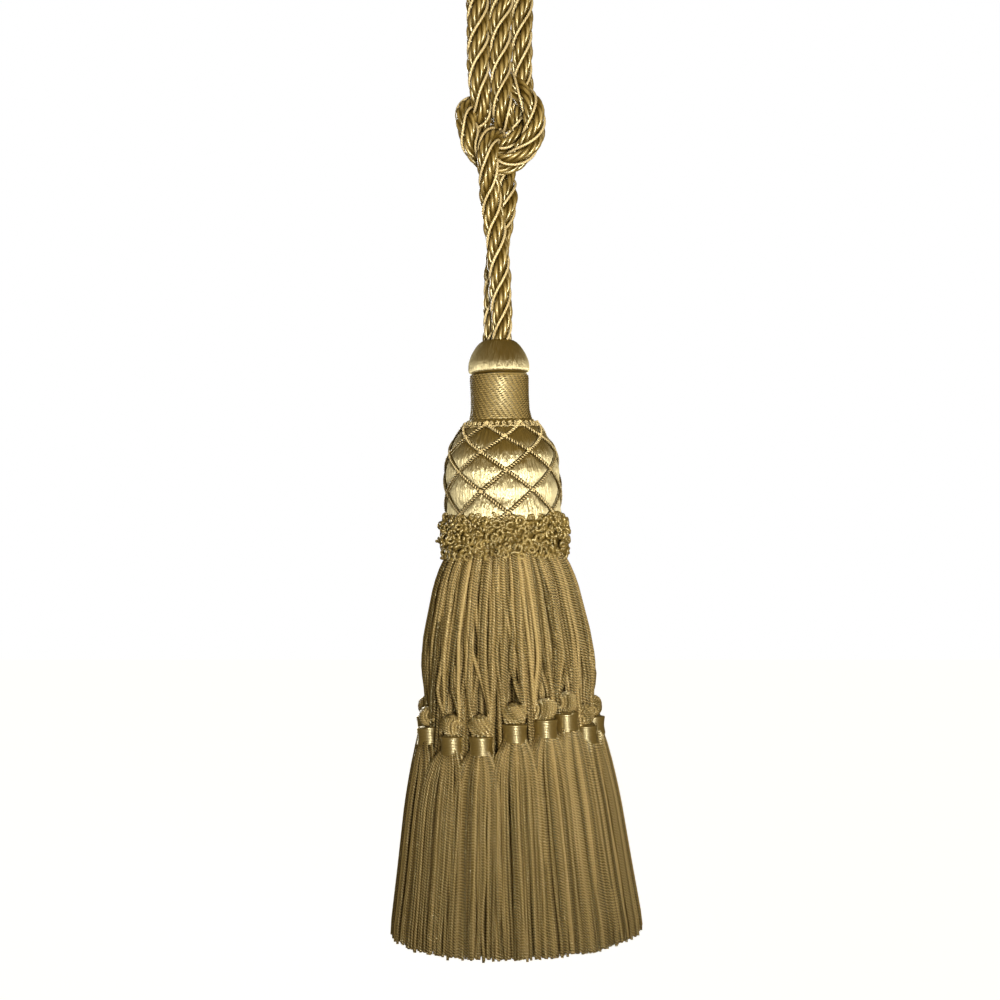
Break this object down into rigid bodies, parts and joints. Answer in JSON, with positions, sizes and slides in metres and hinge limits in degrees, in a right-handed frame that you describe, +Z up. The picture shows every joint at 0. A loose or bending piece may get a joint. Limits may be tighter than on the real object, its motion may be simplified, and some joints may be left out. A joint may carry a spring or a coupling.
{
  "type": "curtain tieback tassel",
  "caption": "Rope curtain tieback knotted through the doubled cord of a large tassel, with a netted satin bulb, a looped ruff and small hanger tassels tied into its long corded skirt.",
  "frame": {"origin": "where a hook carries the rope's two loops, at the top inside of the loops", "axes": "+Z up, +X to the right of someone facing the tassel, +Y away from them"},
  "size_m": [0.1186, 0.1186, 0.5041],
  "materials": {
    "rope": "laid rope of shiny twisted yarns",
    "satin": "smooth satin floss",
    "winding": "close turns of fine twisted cord",
    "net": "fine hard-twisted cord",
    "ruff": "small curled loops of twisted cord",
    "fringe": "long fine twisted cords"
  },
  "bodies": {
    "root": {"tieback_rope": "rope", "tassel_cord": "rope", "cap": "satin", "neck_winding": "winding", "bulb": "satin", "net": "net", "collar": "ruff", "skirt": "fringe", "hanger_knot_01": "ruff", "hanger_tuft_01": "fringe", "hanger_knot_02": "ruff", "hanger_tuft_02": "fringe", "hanger_knot_03": "ruff", "hanger_tuft_03": "fringe", "hanger_knot_04": "ruff", "hanger_tuft_04": "fringe", "hanger_knot_05": "ruff", "hanger_tuft_05": "fringe", "hanger_knot_06": "ruff", "hanger_tuft_06": "fringe", "hanger_knot_07": "ruff", "hanger_tuft_07": "fringe", "hanger_knot_08": "ruff", "hanger_tuft_08": "fringe", "hanger_knot_09": "ruff", "hanger_tuft_09": "fringe", "hanger_knot_10": "ruff", "hanger_tuft_10": "fringe", "hanger_knot_11": "ruff", "hanger_tuft_11": "fringe", "hanger_knot_12": "ruff", "hanger_tuft_12": "fringe", "hanger_knot_13": "ruff", "hanger_tuft_13": "fringe", "hanger_knot_14": "ruff", "hanger_tuft_14": "fringe", "hanger_knot_15": "ruff", "hanger_tuft_15": "fringe", "hanger_knot_16": "ruff", "hanger_tuft_16": "fringe"}
  },
  "joints": []
}
